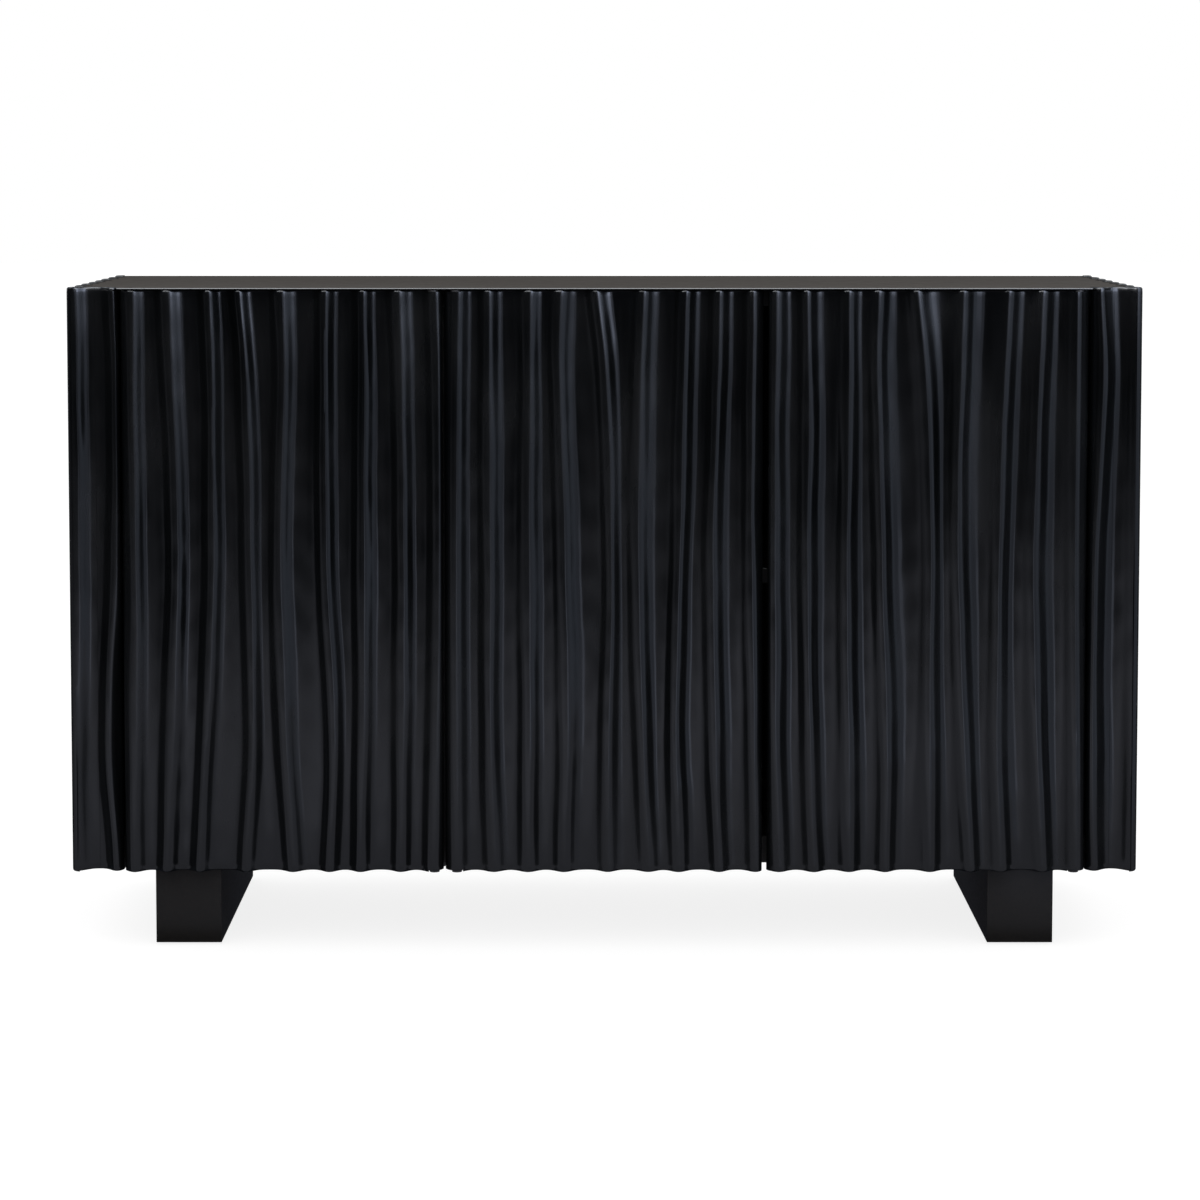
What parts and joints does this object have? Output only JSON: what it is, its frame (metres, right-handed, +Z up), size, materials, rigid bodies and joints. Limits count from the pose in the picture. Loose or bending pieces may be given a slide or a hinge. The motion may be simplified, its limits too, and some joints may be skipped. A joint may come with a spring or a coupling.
{
  "type": "sideboard buffet",
  "caption": "Low storage cabinet with curtain-like vertical carved flutes, hinged doors without handles, a thin flat top and straight block runners.",
  "frame": {"origin": "on the floor below the middle of the body", "axes": "+Z up, X along the width, -Y towards the doors"},
  "size_m": [1.524, 0.48, 0.948],
  "materials": {
    "black_lacquer": "carved wood under glossy black lacquer",
    "matte_top": "matte dark grey-brown",
    "black_stain": "satin black stained wood",
    "interior_black": "satin black veneered board",
    "black_steel": "black powder coat",
    "bright_steel": "zinc plated",
    "black_plastic": "moulded",
    "felt": "pressed felt"
  },
  "bodies": {
    "carcass": {"bottom_board": "interior_black", "subtop_board": "interior_black", "left_side_board": "interior_black", "right_side_board": "interior_black", "partition": "interior_black", "back_panel": "interior_black", "left_fluted_side": "black_lacquer", "left_fluted_stile": "black_lacquer", "right_fluted_side": "black_lacquer", "right_fluted_stile": "black_lacquer", "top_panel": "matte_top", "left_runner": "black_stain", "left_front_glide": "felt", "left_front_runner_bolt": "bright_steel", "left_rear_glide": "felt", "left_rear_runner_bolt": "bright_steel", "left_shelf": "interior_black", "left_shelf_pin_1": "bright_steel", "left_shelf_pin_2": "bright_steel", "left_shelf_pin_3": "bright_steel", "left_shelf_pin_4": "bright_steel", "right_runner": "black_stain", "right_front_glide": "felt", "right_front_runner_bolt": "bright_steel", "right_rear_glide": "felt", "right_rear_runner_bolt": "bright_steel", "right_shelf": "interior_black", "right_shelf_pin_1": "bright_steel", "right_shelf_pin_2": "bright_steel", "right_shelf_pin_3": "bright_steel", "right_shelf_pin_4": "bright_steel", "door_1_top_pivot_plate": "black_steel", "door_1_bottom_pivot_plate": "black_steel", "door_1_latch_body": "black_plastic", "door_2_top_pivot_plate": "black_steel", "door_2_bottom_pivot_plate": "black_steel", "door_2_latch_body": "black_plastic", "door_3_top_pivot_plate": "black_steel", "door_3_bottom_pivot_plate": "black_steel", "door_3_latch_body": "black_plastic"},
    "door_1": {"door_1_fluted_front": "black_lacquer", "door_1_backing": "interior_black", "door_1_top_bushing": "bright_steel", "door_1_bottom_bushing": "bright_steel", "door_1_latch_strike": "bright_steel"},
    "door_1_plunger": {"door_1_latch_plunger": "black_plastic"},
    "door_2": {"door_2_fluted_front": "black_lacquer", "door_2_backing": "interior_black", "door_2_top_bushing": "bright_steel", "door_2_bottom_bushing": "bright_steel", "door_2_latch_strike": "bright_steel"},
    "door_2_plunger": {"door_2_latch_plunger": "black_plastic"},
    "door_3": {"door_3_fluted_front": "black_lacquer", "door_3_backing": "interior_black", "door_3_top_bushing": "bright_steel", "door_3_bottom_bushing": "bright_steel", "door_3_latch_strike": "bright_steel"},
    "door_3_plunger": {"door_3_latch_plunger": "black_plastic"}
  },
  "joints": [
    {"name": "door_1_hinge", "type": "hinge", "parent": "carcass", "child": "door_1", "pos_m": [-0.243, -0.232, 0.527], "axis": [0, 0, 1], "range_deg": [0, 90]},
    {"name": "door_2_hinge", "type": "hinge", "parent": "carcass", "child": "door_2", "pos_m": [-0.211, -0.232, 0.527], "axis": [0, 0, -1], "range_deg": [0, 90]},
    {"name": "door_3_hinge", "type": "hinge", "parent": "carcass", "child": "door_3", "pos_m": [0.671, -0.232, 0.527], "axis": [0, 0, 1], "range_deg": [0, 90]},
    {"name": "door_1_latch_press", "type": "slide", "parent": "carcass", "child": "door_1_plunger", "axis": [0, 1, 0], "range_m": [0, 0.0025], "stiffness_N_per_m": 300},
    {"name": "door_2_latch_press", "type": "slide", "parent": "carcass", "child": "door_2_plunger", "axis": [0, 1, 0], "range_m": [0, 0.0025], "stiffness_N_per_m": 300},
    {"name": "door_3_latch_press", "type": "slide", "parent": "carcass", "child": "door_3_plunger", "axis": [0, 1, 0], "range_m": [0, 0.0025], "stiffness_N_per_m": 300}
  ]
}
